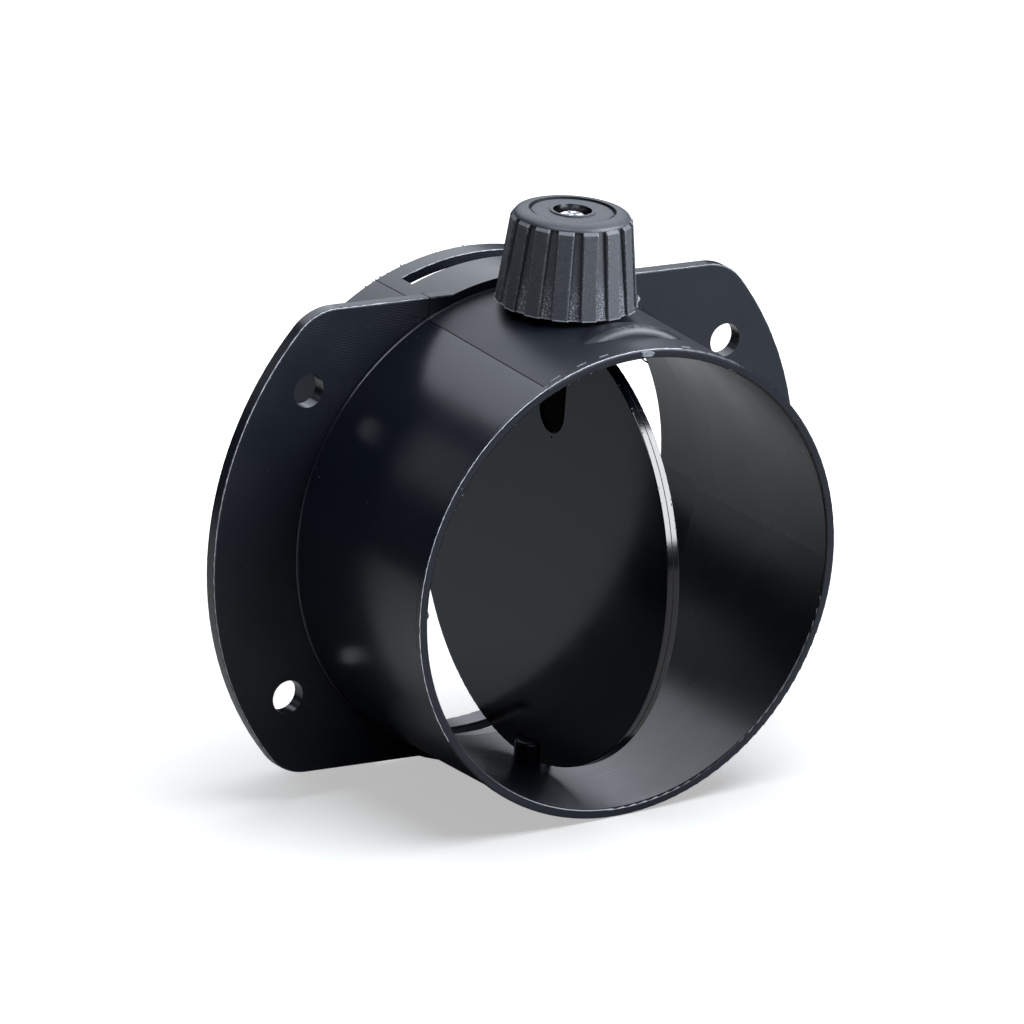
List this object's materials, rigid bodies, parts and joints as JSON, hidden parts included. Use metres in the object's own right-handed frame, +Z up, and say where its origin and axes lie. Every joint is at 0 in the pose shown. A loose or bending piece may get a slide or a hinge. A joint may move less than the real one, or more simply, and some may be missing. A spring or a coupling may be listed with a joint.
{
  "type": "duct connector with valve",
  "caption": "Flanged round duct connector with a tapered spigot, a slotted collar behind the flange and a butterfly disc turned by a ribbed knob on top.",
  "frame": {"origin": "on the duct axis, on the flange's rear face, which lies against the panel", "axes": "+X across, +Y along the duct towards the back of the panel, +Z up, towards the knob"},
  "size_m": [0.1268, 0.084, 0.111],
  "materials": {
    "body_plastic": "satin black moulded plastic",
    "disc_plastic": "satin black moulded plastic",
    "spindle_plastic": "satin black moulded plastic",
    "knob_plastic": "fine matte dark grey plastic",
    "screw_steel": "bright zinc plated"
  },
  "bodies": {
    "housing": {"duct_body": "body_plastic"},
    "valve": {"damper_disc": "disc_plastic", "spindle": "spindle_plastic", "knob": "knob_plastic", "knob_screw": "screw_steel"}
  },
  "joints": [
    {"name": "valve_turn", "type": "hinge", "parent": "housing", "child": "valve", "pos_m": [0, -0.0168, 0], "axis": [0, 0, -1], "range_deg": [0, 90]}
  ]
}
